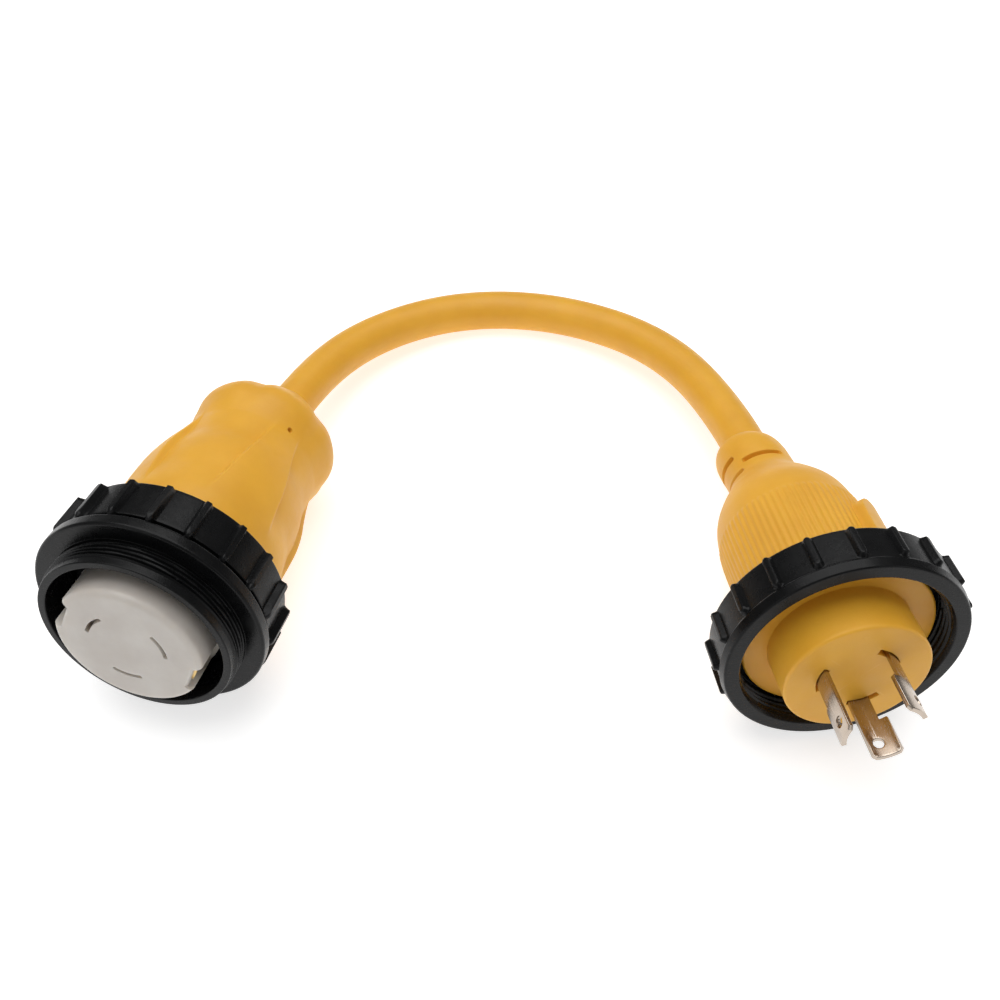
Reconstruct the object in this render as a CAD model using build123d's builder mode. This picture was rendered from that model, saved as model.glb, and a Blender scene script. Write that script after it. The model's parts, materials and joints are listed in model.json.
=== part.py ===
"""Power adapter dogbone: a locking plug and a locking connector on one short thick cord.

The adapter rests on a level surface on three places: the ribbed ring of each head, and the
far side of the cord's bend. +Z is up, the faces of both heads look towards -Y and lean back,
and +X runs from the connector (female) head to the plug (male) head. Each head is modelled in
its own frame: z out of its face, x to the right of someone facing it, y up. Depths behind
a face are negative z.
"""
from build123d import *
from math import cos, radians, sin, tan
import os

# ---- driving dimensions, mm and degrees ----------------------------------------------
LEAN = 10.1  # both heads lean back by this
CLEARANCE = 0.3  # radial gap between a ring and the neck it turns on

# Plug (male) head
MALE_YAW = 7.1
MALE_X = 104.8
MALE_Y = -54.2
NOSE_R = 22.0
NOSE_LENGTH = 15.5
MALE_FLANGE_R = 29.7
MALE_FLANGE_BACK = -18.5
MALE_NECK_R = 23.6
MALE_BODY_R = 24.5
MALE_BODY_START = -24.4
MALE_RELIEF_R = 12.4
MALE_RELIEF_START = -86.0
MALE_REAR = -105.5
MALE_PAD_R = 27.7
MALE_PAD_ANGLE = 32.0
MALE_PAD_SWEEP = 52.0
MALE_PAD_Z = (-54.5, -25.5)
MALE_RELIEF_SLOTS = {-94.0: (174.0, 354.0), -90.0: (98.0, 278.0), -86.0: (168.0, 348.0)}
MALE_RELIEF_SLOT_SWEEP = 62.0
MALE_RELIEF_SLOT_WIDTH = 2.1
MALE_RELIEF_SLOT_R = 9.8
MALE_INSERT_R = 17.5
MALE_INSERT_BACK = -36.0
MALE_RING_FRONT = -8.5
MALE_RING_BACK = -24.0
MALE_RING_WEB = -18.9
MALE_RING_R = 37.4
MALE_RING_BAND = 3.4  # width of the smooth band in front of the bars
MALE_RING_THREAD_R = 31.9
MALE_RING_MOUTH_R = 32.6

# Locking blades
BLADE_CIRCLE_R = 11.5
BLADE_ANGLES = {"hot": 40.0, "neutral": 170.0, "ground": 282.0}
BLADE_THICKNESS = 1.5
BLADE_SWEEP = 32.0
BLADE_HOOK_SWEEP = 13.0
BLADE_LENGTH = 20.0
BLADE_HOOK_START = 8.2
BLADE_TAIL = -20.0
BLADE_HOLE_R = 1.6
BLADE_HOLE_Z = 15.5
BLADE_POCKET_DEPTH = 2.4  # the nose's slot is this deep where only the hook passes through it
BLADE_POCKET_GAP = 0.15

# Connector (female) head
FEMALE_YAW = -14.1
FEMALE_X = -108.0
FEMALE_Y = -40.7
FEMALE_RING_BORE_R = 28.25
FEMALE_RING_LIP_R = 30.75
FEMALE_RING_LIP = -2.6
FEMALE_THREAD_R = 31.4
FEMALE_FLANGE_R = 37.3
FEMALE_FLANGE_Z = (-9.2, -13.4)
FEMALE_GROOVE_R = 34.4
FEMALE_GRIP_START = -15.6
FEMALE_RING_R = 35.7
FEMALE_RING_BACK = -29.65
FEMALE_RING_WEB = -24.0
FEMALE_NECK_R = 26.0
FEMALE_SHOULDER_R = 27.8
FEMALE_SHOULDER_Z = (-16.0, -23.6)
FEMALE_BODY_START = -30.2
FEMALE_BODY_R = 29.2
FEMALE_REAR = -119.0
CARRIER_R = 23.2
CARRIER_FRONT = 4.5
CARRIER_BACK = -22.0
CARRIER_SKIN = 4.0
COVER_R = 21.5
COVER_BACK = -27.0
CONTACT_CIRCLE_R = 12.5
CONTACT_ANGLES = {"hot_x": 20.0, "hot_y": 140.0, "neutral": 260.0}
CONTACT_SWEEP = 38.0
SLOT_WIDTH = 2.0
SLOT_SWEEP = 44.0
LEAF_THICKNESS = 0.8
CONTACT_PLATE_Z = -20.0
CUTOUT_ANGLES = (155.0, 338.0)
CUTOUT_SWEEP = 30.0
CUTOUT_R = 20.4
CUTOUT_DEPTH = 14.0
GROUND_STRIP_SWEEP = 16.0
SCREW_ANGLES = (80.0, 200.0)
SCREW_CIRCLE_R = 17.0
SCREW_R = 1.5
SCREW_TIP = -14.0
SCREW_HEAD_R = 2.8
SCREW_HEAD_HEIGHT = 2.2
EDGE_ROUNDING = 1.5
RECESS_COUNT = 4
RECESS_START_ANGLE = 4.0
RECESS_CIRCLE_R = 51.0
RECESS_R = 24.0
RECESS_Z = -66.0

# Ribs of both rings
RIB_COUNT = 19
RIB_WIDTH = 3.4
RIB_EDGE = 0.9
MALE_RIB_HEIGHT = 1.7
MALE_RIB_ANGLE = 73.3
FEMALE_RIB_HEIGHT = 2.2
FEMALE_RIB_ANGLE = 7.75
FEMALE_RIB_OVERHANG = 0.9  # the bars reach this far out over the groove

# Cord and its conductors
CORD_R = 8.0
WIRE_R = 2.1
BARREL_R = 3.0
WIRE_TWIST_R = 2.6  # radius of the three conductors' circle inside the jacket
WIRE_GAP = 1.5  # the conductors stop this far short of the jacket's end
MALE_CORD_END = -88.0
FEMALE_CORD_END = -100.0

# The cord's route, from inside the plug's relief, along the surface, into the connector.
CORD_ROUTE = [
    (94.0, 31.8, 26.8),
    (89.5, 68.1, 20.2),
    (68.2, 115.5, 13.5),
    (27.2, 142.5, 8.0),
    (-16.8, 144.5, 8.0),
    (-54.8, 122.5, 12.5),
    (-76.3, 86.5, 19.0),
    (-84.0, 54.8, 25.0),
]


# ---- helpers ----------------------------------------------------------------------------
def head_plane(x, y, yaw, ring_r, ring_back):
    """The plane on a head's face, at the height where its ring's rear edge rests on z = 0."""
    turn, lean = radians(yaw), radians(LEAN)
    height = ring_r * cos(lean) - ring_back * sin(lean)
    out = (sin(turn) * cos(lean), -cos(turn) * cos(lean), sin(lean))
    return Plane(origin=(x, y, height), x_dir=(cos(turn), sin(turn), 0), z_dir=out)


def on_circle(radius, angle, z=0.0):
    """A point at an angle on a circle about the head's axis."""
    return Vector(radius * cos(radians(angle)), radius * sin(radians(angle)), z)


def arc_band(inner, outer, middle_angle, sweep):
    """Sketch of a curved strip about the origin, with its middle at an angle."""
    start = middle_angle - sweep / 2
    with BuildSketch(mode=Mode.PRIVATE) as band:
        with BuildLine():
            near = CenterArc((0, 0), inner, start, sweep)
            far = CenterArc((0, 0), outer, start, sweep)
            Line(near @ 0, far @ 0)
            Line(near @ 1, far @ 1)
        make_face()
    return band.sketch


def add_band(inner, outer, middle_angle, sweep, low, high, mode=Mode.ADD):
    """Extrude a curved strip between two depths, in the part being built."""
    extrude(Plane.XY.offset(low) * arc_band(inner, outer, middle_angle, sweep), high - low, mode=mode)


def revolved(points):
    """A round solid about z from its (radius, z) outline."""
    with BuildPart(mode=Mode.PRIVATE) as body:
        with BuildSketch(Plane.XZ):
            with BuildLine():
                Polyline(points, close=True)
            make_face()
        revolve(axis=Axis.Z)
    return body.part


def rod(radius, centre, low, high):
    """A cylinder along z between two depths."""
    with BuildPart(mode=Mode.PRIVATE) as body:
        with Locations((centre.X, centre.Y, low)):
            Cylinder(radius, high - low, align=(Align.CENTER, Align.CENTER, Align.MIN))
    return body.part


def ribs(radius, height, first_angle, low, high):
    """The grip's rounded bars, evenly spaced, half sunk into the ring's surface."""
    with BuildPart(mode=Mode.PRIVATE) as bars:
        with PolarLocations(radius, RIB_COUNT, start_angle=first_angle):
            with Locations((0, 0, (low + high) / 2)):
                Box(2 * height, RIB_WIDTH, high - low)
        fillet(bars.edges().filter_by(Axis.Z), RIB_EDGE)
    return bars.part


def conductor(start, end):
    """An insulated conductor from a crimp barrel to its place in the jacket."""
    run = abs(end.Z - start.Z)
    first = Vector(start.X, start.Y, start.Z - 0.2 * run)
    second = Vector(end.X, end.Y, end.Z + 0.35 * run)
    with BuildPart(mode=Mode.PRIVATE) as body:
        with BuildLine() as path:
            FilletPolyline(start, first, second, end, radius=8.0)
        with BuildSketch(Plane(origin=start, z_dir=(0, 0, -1))):
            Circle(WIRE_R)
        sweep(path=path.line)
    return body.part


def corner_radii(points):
    """Each corner's arc, as large as the two runs beside it allow."""
    spots = [Vector(*point) for point in points]
    radii = []
    for before, here, after in zip(spots, spots[1:], spots[2:]):
        shorter = min((here - before).length, (after - here).length)
        turn = (here - before).get_angle(after - here)
        radii.append(0.45 * shorter / tan(radians(turn) / 2))
    return radii


def finish(solid, label, place=Location()):
    """Put a piece in its place, label it and write it."""
    placed = solid.moved(place)
    placed.label = label
    export_step(placed, f"parts/{label}.step")


MALE = head_plane(MALE_X, MALE_Y, MALE_YAW, MALE_RING_R + MALE_RIB_HEIGHT, MALE_RING_BACK)
FEMALE = head_plane(FEMALE_X, FEMALE_Y, FEMALE_YAW, FEMALE_RING_R + FEMALE_RIB_HEIGHT, FEMALE_RING_BACK)
os.makedirs("parts", exist_ok=True)

# ---- cord -------------------------------------------------------------------------------
CORD_RADII = corner_radii(CORD_ROUTE)
print("cord radii", [round(radius, 1) for radius in CORD_RADII])
with BuildPart() as power_cord:
    with BuildLine() as cord_path:
        FilletPolyline(*CORD_ROUTE, radius=CORD_RADII)
    with BuildSketch(Plane(origin=cord_path.line @ 0, z_dir=cord_path.line % 0)):
        Circle(CORD_R)
    sweep(path=cord_path.line)
print("cord length", round(sum(edge.length for edge in cord_path.line.edges()), 1))
finish(power_cord.part, "power_cord")

# ---- plug head: blades ------------------------------------------------------------------
blade_inner = BLADE_CIRCLE_R - BLADE_THICKNESS / 2
blade_outer = BLADE_CIRCLE_R + BLADE_THICKNESS / 2
MALE_CRIMP_BACK = BLADE_TAIL - 9.0


def blade(angle):
    """One curved locking blade with its hook, its tip hole, its tail and its crimp barrel."""
    hooked = BLADE_SWEEP + BLADE_HOOK_SWEEP
    with BuildPart(mode=Mode.PRIVATE) as piece:
        add_band(blade_inner, blade_outer, angle, BLADE_SWEEP, BLADE_TAIL, BLADE_HOOK_START)
        add_band(blade_inner, blade_outer, angle + BLADE_HOOK_SWEEP / 2, hooked, BLADE_HOOK_START, BLADE_LENGTH)
        tip = piece.faces().sort_by(Axis.Z)[-1]
        chamfer(tip.edges(), 0.5)
        with Locations(Plane(origin=on_circle(BLADE_CIRCLE_R, angle, BLADE_HOLE_Z), z_dir=on_circle(1, angle))):
            Cylinder(BLADE_HOLE_R, 4 * BLADE_THICKNESS, mode=Mode.SUBTRACT)
        add(rod(BARREL_R, on_circle(BLADE_CIRCLE_R, angle), MALE_CRIMP_BACK, BLADE_TAIL))
    return piece.part


blades = {name: blade(angle) for name, angle in BLADE_ANGLES.items()}
for name, piece in blades.items():
    finish(piece, f"male_blade_{name}", MALE.location)

male_wires = {}
for name, angle in BLADE_ANGLES.items():
    wire_start = on_circle(BLADE_CIRCLE_R, angle, MALE_CRIMP_BACK)
    wire_end = on_circle(WIRE_TWIST_R, angle, MALE_CORD_END + WIRE_GAP)
    male_wires[name] = conductor(wire_start, wire_end)
    finish(male_wires[name], f"male_wire_{name}", MALE.location)

# ---- plug head: rigid insert, the nose in front and a stem around the crimps ------------------
male_insert_stem = rod(MALE_INSERT_R, Vector(0, 0, 0), MALE_INSERT_BACK, -NOSE_LENGTH)
with BuildPart() as male_insert:
    with BuildSketch():
        Circle(NOSE_R)
    extrude(amount=-NOSE_LENGTH)
    chamfer(male_insert.faces().sort_by(Axis.Z)[-1].edges(), 0.8)
    add(male_insert_stem)
    for name, angle in BLADE_ANGLES.items():
        add_band(
            blade_inner - BLADE_POCKET_GAP,
            blade_outer + BLADE_POCKET_GAP,
            angle + BLADE_HOOK_SWEEP / 2,
            BLADE_SWEEP + BLADE_HOOK_SWEEP + 1.5,
            -BLADE_POCKET_DEPTH,
            0,
            mode=Mode.SUBTRACT,
        )
        add(blades[name], mode=Mode.SUBTRACT)
        add(male_wires[name], mode=Mode.SUBTRACT)
finish(male_insert.part, "male_insert", MALE.location)

# ---- plug head: soft body -------------------------------------------------------------------
with BuildPart() as male_overmold:
    with BuildSketch(Plane.XZ):
        with BuildLine():
            Polyline(
                (0, -NOSE_LENGTH),
                (MALE_FLANGE_R, -NOSE_LENGTH),
                (MALE_FLANGE_R, MALE_FLANGE_BACK),
                (MALE_NECK_R, MALE_FLANGE_BACK),
                (MALE_NECK_R, MALE_BODY_START),
                (MALE_BODY_R, MALE_BODY_START),
                (MALE_BODY_R, -56),
            )
            shoulder = ThreePointArc((MALE_BODY_R, -56), (22.9, -67), (18.6, -76))
            ThreePointArc(shoulder @ 1, (14.3, -81.6), (MALE_RELIEF_R, MALE_RELIEF_START))
            Line((MALE_RELIEF_R, MALE_RELIEF_START), (MALE_RELIEF_R, MALE_REAR + 4))
            ThreePointArc((MALE_RELIEF_R, MALE_REAR + 4), (11.4, MALE_REAR + 1.2), (9.0, MALE_REAR))
            Line((9.0, MALE_REAR), (0, MALE_REAR))
            Line((0, MALE_REAR), (0, -NOSE_LENGTH))
        make_face()
    revolve(axis=Axis.Z)
    add_band(MALE_NECK_R, MALE_PAD_R, MALE_PAD_ANGLE, MALE_PAD_SWEEP, *MALE_PAD_Z)
    for row, angles in MALE_RELIEF_SLOTS.items():
        for angle in angles:
            add_band(
                MALE_RELIEF_SLOT_R,
                MALE_RELIEF_R + 1,
                angle,
                MALE_RELIEF_SLOT_SWEEP,
                row - MALE_RELIEF_SLOT_WIDTH / 2,
                row + MALE_RELIEF_SLOT_WIDTH / 2,
                mode=Mode.SUBTRACT,
            )
    add(male_insert_stem, mode=Mode.SUBTRACT)
    for name in BLADE_ANGLES:
        add(male_wires[name], mode=Mode.SUBTRACT)
    add(power_cord.part.moved(MALE.location.inverse()), mode=Mode.SUBTRACT)
finish(male_overmold.part, "male_overmold", MALE.location)

# ---- plug head: locking ring with its inside thread ------------------------------------------
with BuildPart() as male_lock_ring:
    add(
        revolved(
            [
                (MALE_RING_MOUTH_R, MALE_RING_FRONT),
                (MALE_RING_R - 0.7, MALE_RING_FRONT),
                (MALE_RING_R, MALE_RING_FRONT - 0.7),
                (MALE_RING_R, MALE_RING_BACK),
                (MALE_NECK_R + CLEARANCE, MALE_RING_BACK),
                (MALE_NECK_R + CLEARANCE, MALE_RING_WEB),
                (MALE_RING_THREAD_R, MALE_RING_WEB),
                (MALE_RING_THREAD_R, MALE_RING_FRONT - 1.2),
            ]
        )
    )
    rib_top = MALE_RING_FRONT - MALE_RING_BAND
    add(ribs(MALE_RING_R, MALE_RIB_HEIGHT, MALE_RIB_ANGLE, MALE_RING_BACK, rib_top))
finish(male_lock_ring.part, "male_lock_ring", MALE.location)

# ---- connector head: contacts behind the arc slots ---------------------------------------------
FEMALE_CRIMP_BACK = -34.0
leaf_gap = SLOT_WIDTH / 2 + 0.1
leaf_inner = (CONTACT_CIRCLE_R - leaf_gap - LEAF_THICKNESS, CONTACT_CIRCLE_R - leaf_gap)
leaf_outer = (CONTACT_CIRCLE_R + leaf_gap, CONTACT_CIRCLE_R + leaf_gap + LEAF_THICKNESS)
LEAF_FRONT = CARRIER_FRONT - CARRIER_SKIN - 1.0


def slot_contact(angle):
    """A two-leaf contact: a blade goes between the leaves; a crimp barrel stands behind."""
    with BuildPart(mode=Mode.PRIVATE) as piece:
        for inner, outer in (leaf_inner, leaf_outer):
            add_band(inner, outer, angle, CONTACT_SWEEP, CARRIER_BACK, LEAF_FRONT)
        add_band(leaf_inner[0], leaf_outer[1], angle, CONTACT_SWEEP, CARRIER_BACK, CONTACT_PLATE_Z)
        add(rod(BARREL_R, on_circle(CONTACT_CIRCLE_R, angle), FEMALE_CRIMP_BACK, CARRIER_BACK))
    return piece.part


contacts = {name: slot_contact(angle) for name, angle in CONTACT_ANGLES.items()}
for name, piece in contacts.items():
    finish(piece, f"female_contact_{name}", FEMALE.location)

GROUND_ANGLE = CUTOUT_ANGLES[1]
GROUND_STRIP = (CUTOUT_R, CUTOUT_R + LEAF_THICKNESS)
GROUND_BARREL_R = 2.6
GROUND_BARREL_CIRCLE_R = 18.2
GROUND_CRIMP_BACK = -38.0
with BuildPart() as female_ground_contact:
    add_band(*GROUND_STRIP, GROUND_ANGLE, GROUND_STRIP_SWEEP, COVER_BACK - 3, 2.0)
    add(
        rod(
            GROUND_BARREL_R,
            on_circle(GROUND_BARREL_CIRCLE_R, GROUND_ANGLE),
            GROUND_CRIMP_BACK,
            COVER_BACK - 1.0,
        )
    )
finish(female_ground_contact.part, "female_ground_contact", FEMALE.location)

# The link that feeds the second hot contact lies in the cover's front, between two barrels.
JUMPER_Z = (-23.4, CARRIER_BACK)
JUMPER_ANGLE = (CONTACT_ANGLES["hot_x"] + CONTACT_ANGLES["hot_y"]) / 2
JUMPER_SWEEP = CONTACT_ANGLES["hot_y"] - CONTACT_ANGLES["hot_x"]
with BuildPart() as female_hot_jumper:
    add_band(10.6, 14.4, JUMPER_ANGLE, JUMPER_SWEEP, *JUMPER_Z)
    for name in ("hot_x", "hot_y"):
        add(contacts[name], mode=Mode.SUBTRACT)
finish(female_hot_jumper.part, "female_hot_jumper", FEMALE.location)

wire_places = {"hot": ("hot_x", 80.0), "neutral": ("neutral", 200.0)}
female_wires = {}
for name, (contact, place) in wire_places.items():
    wire_start = on_circle(CONTACT_CIRCLE_R, CONTACT_ANGLES[contact], FEMALE_CRIMP_BACK)
    female_wires[name] = conductor(wire_start, on_circle(WIRE_TWIST_R, place, FEMALE_CORD_END + WIRE_GAP))
female_wires["ground"] = conductor(
    on_circle(GROUND_BARREL_CIRCLE_R, GROUND_ANGLE, GROUND_CRIMP_BACK),
    on_circle(WIRE_TWIST_R, 320.0, FEMALE_CORD_END + WIRE_GAP),
)
for name, piece in female_wires.items():
    finish(piece, f"female_wire_{name}", FEMALE.location)

# ---- connector head: screws, carrier, cover and inner mould ----------------------------------
with BuildPart() as female_cover_screws:
    for angle in SCREW_ANGLES:
        add(rod(SCREW_R, on_circle(SCREW_CIRCLE_R, angle), COVER_BACK, SCREW_TIP))
        add(rod(SCREW_HEAD_R, on_circle(SCREW_CIRCLE_R, angle), COVER_BACK - SCREW_HEAD_HEIGHT, COVER_BACK))
finish(female_cover_screws.part, "female_cover_screws", FEMALE.location)

CAVITY_SWEEP = SLOT_SWEEP + 12.0
slot_inner = CONTACT_CIRCLE_R - SLOT_WIDTH / 2
slot_outer = CONTACT_CIRCLE_R + SLOT_WIDTH / 2
with BuildPart() as female_contact_carrier:
    with BuildSketch(Plane.XZ):
        with BuildLine():
            Polyline(
                (CARRIER_R, CARRIER_FRONT - EDGE_ROUNDING),
                (CARRIER_R, CARRIER_BACK),
                (0, CARRIER_BACK),
                (0, CARRIER_FRONT),
                (CARRIER_R - EDGE_ROUNDING, CARRIER_FRONT),
            )
            RadiusArc(
                (CARRIER_R - EDGE_ROUNDING, CARRIER_FRONT),
                (CARRIER_R, CARRIER_FRONT - EDGE_ROUNDING),
                EDGE_ROUNDING,
            )
        make_face()
    revolve(axis=Axis.Z)
    for angle in CONTACT_ANGLES.values():
        add_band(slot_inner, slot_outer, angle, SLOT_SWEEP, LEAF_FRONT, CARRIER_FRONT, mode=Mode.SUBTRACT)
        add_band(leaf_inner[0], leaf_outer[1], angle, CAVITY_SWEEP, CONTACT_PLATE_Z, LEAF_FRONT, mode=Mode.SUBTRACT)
    for angle in CUTOUT_ANGLES:
        floor = CARRIER_FRONT - CUTOUT_DEPTH
        add_band(CUTOUT_R, CARRIER_R + 1, angle, CUTOUT_SWEEP, floor, CARRIER_FRONT, mode=Mode.SUBTRACT)
    for piece in contacts.values():
        add(piece, mode=Mode.SUBTRACT)
    add(female_ground_contact.part, mode=Mode.SUBTRACT)
    add(female_cover_screws.part, mode=Mode.SUBTRACT)
finish(female_contact_carrier.part, "female_contact_carrier", FEMALE.location)

with BuildPart() as female_carrier_cover:
    add(rod(COVER_R, Vector(0, 0, 0), COVER_BACK, CARRIER_BACK))
    for piece in contacts.values():
        add(piece, mode=Mode.SUBTRACT)
    add(female_hot_jumper.part, mode=Mode.SUBTRACT)
    add(female_ground_contact.part, mode=Mode.SUBTRACT)
    add(female_cover_screws.part, mode=Mode.SUBTRACT)
finish(female_carrier_cover.part, "female_carrier_cover", FEMALE.location)

FEMALE_MOLD_BACK = -46.0
with BuildPart() as female_inner_mold:
    add(rod(COVER_R, Vector(0, 0, 0), FEMALE_MOLD_BACK, COVER_BACK))
    for piece in contacts.values():
        add(piece, mode=Mode.SUBTRACT)
    add(female_ground_contact.part, mode=Mode.SUBTRACT)
    add(female_cover_screws.part, mode=Mode.SUBTRACT)
    for piece in female_wires.values():
        add(piece, mode=Mode.SUBTRACT)
finish(female_inner_mold.part, "female_inner_mold", FEMALE.location)

# ---- connector head: soft body with four finger recesses --------------------------------------
shoulder_front, shoulder_back = FEMALE_SHOULDER_Z
with BuildPart() as female_overmold:
    with BuildSketch(Plane.XZ):
        with BuildLine():
            Polyline(
                (0, shoulder_front),
                (FEMALE_SHOULDER_R, shoulder_front),
                (FEMALE_SHOULDER_R, shoulder_back),
                (FEMALE_NECK_R, shoulder_back),
                (FEMALE_NECK_R, FEMALE_BODY_START),
                (FEMALE_BODY_R, FEMALE_BODY_START),
                (FEMALE_BODY_R + 0.3, -50),
            )
            front = ThreePointArc((FEMALE_BODY_R + 0.3, -50), (28.4, -65), (25.2, -78))
            waist = ThreePointArc(front @ 1, (24.8, -84), (25.9, -90))
            knob = ThreePointArc(waist @ 1, (24.0, -101), (14.4, -112))
            Line(knob @ 1, (9.6, FEMALE_REAR))
            Line((9.6, FEMALE_REAR), (0, FEMALE_REAR))
            Line((0, FEMALE_REAR), (0, shoulder_front))
        make_face()
    revolve(axis=Axis.Z)
    with PolarLocations(RECESS_CIRCLE_R, RECESS_COUNT, start_angle=RECESS_START_ANGLE):
        with Locations((0, 0, RECESS_Z)):
            Sphere(RECESS_R, mode=Mode.SUBTRACT)
    add(rod(CARRIER_R, Vector(0, 0, 0), CARRIER_BACK, shoulder_front), mode=Mode.SUBTRACT)
    add(rod(COVER_R, Vector(0, 0, 0), FEMALE_MOLD_BACK, CARRIER_BACK), mode=Mode.SUBTRACT)
    for piece in female_wires.values():
        add(piece, mode=Mode.SUBTRACT)
    add(power_cord.part.moved(FEMALE.location.inverse()), mode=Mode.SUBTRACT)
finish(female_overmold.part, "female_overmold", FEMALE.location)

# ---- connector head: ring with the outside thread ----------------------------------------------
flange_front, flange_back = FEMALE_FLANGE_Z
with BuildPart() as female_lock_ring:
    add(
        revolved(
            [
                (FEMALE_RING_BORE_R, 0),
                (FEMALE_RING_LIP_R, 0),
                (FEMALE_RING_LIP_R, FEMALE_RING_LIP),
                (FEMALE_THREAD_R, FEMALE_RING_LIP),
                (FEMALE_THREAD_R, flange_front),
                (FEMALE_FLANGE_R, flange_front),
                (FEMALE_FLANGE_R, flange_back),
                (FEMALE_GROOVE_R, flange_back),
                (FEMALE_GROOVE_R, FEMALE_GRIP_START),
                (FEMALE_RING_R, FEMALE_GRIP_START),
                (FEMALE_RING_R, FEMALE_RING_BACK),
                (FEMALE_NECK_R + CLEARANCE, FEMALE_RING_BACK),
                (FEMALE_NECK_R + CLEARANCE, FEMALE_RING_WEB),
                (FEMALE_RING_BORE_R, FEMALE_RING_WEB),
            ]
        )
    )
    rib_top = FEMALE_GRIP_START + FEMALE_RIB_OVERHANG
    add(ribs(FEMALE_RING_R, FEMALE_RIB_HEIGHT, FEMALE_RIB_ANGLE, FEMALE_RING_BACK, rib_top))
finish(female_lock_ring.part, "female_lock_ring", FEMALE.location)
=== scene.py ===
"""Looks of the power adapter dogbone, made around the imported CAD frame.

Each head has its own frame, as in the CAD: z out of its face, x to the right of someone facing
it, y up, in millimetres. place() turns such points into the row frame, in metres. The round
pieces are lathed shells: an outline of radius and depth, turned about the head's axis and then
worked by a height field for ridges, bars, slots, pockets and finger panels.
"""
import json

import bmesh
import bpy
import numpy as np
from math import atan2, ceil, cos, pi, radians, sin, tan
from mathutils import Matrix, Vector


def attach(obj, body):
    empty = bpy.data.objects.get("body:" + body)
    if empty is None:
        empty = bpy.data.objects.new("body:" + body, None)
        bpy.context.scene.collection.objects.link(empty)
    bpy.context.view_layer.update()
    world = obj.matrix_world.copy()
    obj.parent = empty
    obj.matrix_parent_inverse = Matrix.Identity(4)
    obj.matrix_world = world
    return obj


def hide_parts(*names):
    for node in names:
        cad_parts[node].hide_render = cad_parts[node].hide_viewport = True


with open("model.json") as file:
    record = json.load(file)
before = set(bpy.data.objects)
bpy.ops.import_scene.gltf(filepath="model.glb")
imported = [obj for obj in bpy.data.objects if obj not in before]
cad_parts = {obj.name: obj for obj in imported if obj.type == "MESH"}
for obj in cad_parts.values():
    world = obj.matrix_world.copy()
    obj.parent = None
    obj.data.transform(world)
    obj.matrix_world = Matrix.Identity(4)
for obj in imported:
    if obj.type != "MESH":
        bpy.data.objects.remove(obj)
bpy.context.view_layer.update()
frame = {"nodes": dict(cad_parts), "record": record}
MM = 0.001  # metres in a millimetre

# ---- driving dimensions, mm and degrees, as in the CAD ----------------------------------
NOSE_R, NOSE_LENGTH, NOSE_ROUNDING = 22.0, 15.5, 0.8
PLUG_FLANGE_R, PLUG_FLANGE_BACK = 29.7, -18.5
PLUG_NECK_R, PLUG_BODY_R = 23.6, 24.3
PLUG_BODY_START = -24.4
PLUG_RELIEF_R, PLUG_REAR = 12.4, -105.5
PLUG_RING_Z = (-24.0, -8.5)
PLUG_RING_WEB = -18.9
PLUG_RING_R, PLUG_RIB_HEIGHT = 37.4, 1.7
PLUG_RING_BORE_R, PLUG_RING_THREAD_R, PLUG_RING_MOUTH_R = 23.9, 31.9, 32.6

CONNECTOR_BODY_START, CONNECTOR_REAR = -30.2, -119.0
CONNECTOR_NECK_R = 26.0
SHOULDER_R, SHOULDER_Z = 27.8, (-23.6, -16.0)
RING_BORE_R, RING_LIP_R, RING_NECK_R = 28.25, 30.75, 26.3
THREAD_R, THREAD_Z = 31.4, (-9.2, -2.6)
FLANGE_R, FLANGE_Z = 37.3, (-13.4, -9.2)
GROOVE_R, GRIP_START = 34.4, -15.6
RING_R, RIB_HEIGHT, RING_BACK, RING_WEB = 35.7, 2.2, -29.65, -24.0
RIB_COUNT, RIB_WIDTH = 19, 3.4
CARRIER_R, CARRIER_FRONT, CARRIER_BACK = 23.2, 4.5, -22.0
CUTOUT_ANGLES, CUTOUT_SWEEP, CUTOUT_R, CUTOUT_FLOOR = (155.0, 338.0), 30.0, 20.4, -9.5
CUTOUT_EDGE, CUTOUT_RIM = 1.2, 5.0
SLOT_ARCS = ((20.0, 44.0), (140.0, 44.0), (260.0, 44.0))
SLOT_CIRCLE_R, SLOT_WIDTH, SLOT_DEPTH, SLOT_EDGE = 12.5, 1.3, 3.4, 0.28

BLADE_CIRCLE_R, BLADE_THICKNESS, BLADE_LENGTH = 11.5, 1.5, 20.0
BLADE_ANGLES = {"hot": 40.0, "neutral": 170.0, "ground": 282.0}
BLADE_SWEEP, HOOK_SWEEP, HOOK_START = 32.0, 13.0, 8.2
BLADE_HOLE_R, BLADE_HOLE_Z = 1.6, 15.5
BLADE_POCKET_DEPTH, BLADE_POCKET_GAP, BLADE_POCKET_SPARE = 2.4, 0.15, 1.5

CORD_R = 8.0
CORD_ROUTE = [  # metres, in the row frame, from the plug to the connector
    (0.0940, 0.0318, 0.0268),
    (0.0895, 0.0681, 0.0202),
    (0.0682, 0.1155, 0.0135),
    (0.0272, 0.1425, 0.0080),
    (-0.0168, 0.1445, 0.0080),
    (-0.0548, 0.1225, 0.0125),
    (-0.0763, 0.0865, 0.0190),
    (-0.0840, 0.0548, 0.0250),
]


# ---- head frames ------------------------------------------------------------------------
def head_frame(mount_name, depth):
    """A head's face centre and its right, up and out axes, from a mount on its own axis."""
    mount = next(m for m in frame["record"]["mounts"] if m["name"] == mount_name)
    out = np.array(mount["axis"], float)
    out /= np.linalg.norm(out)
    right = np.array([-out[1], out[0], 0.0])
    right /= np.linalg.norm(right)
    return np.array(mount["pos_m"], float) + depth * MM * out, right, np.cross(out, right), out


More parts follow.
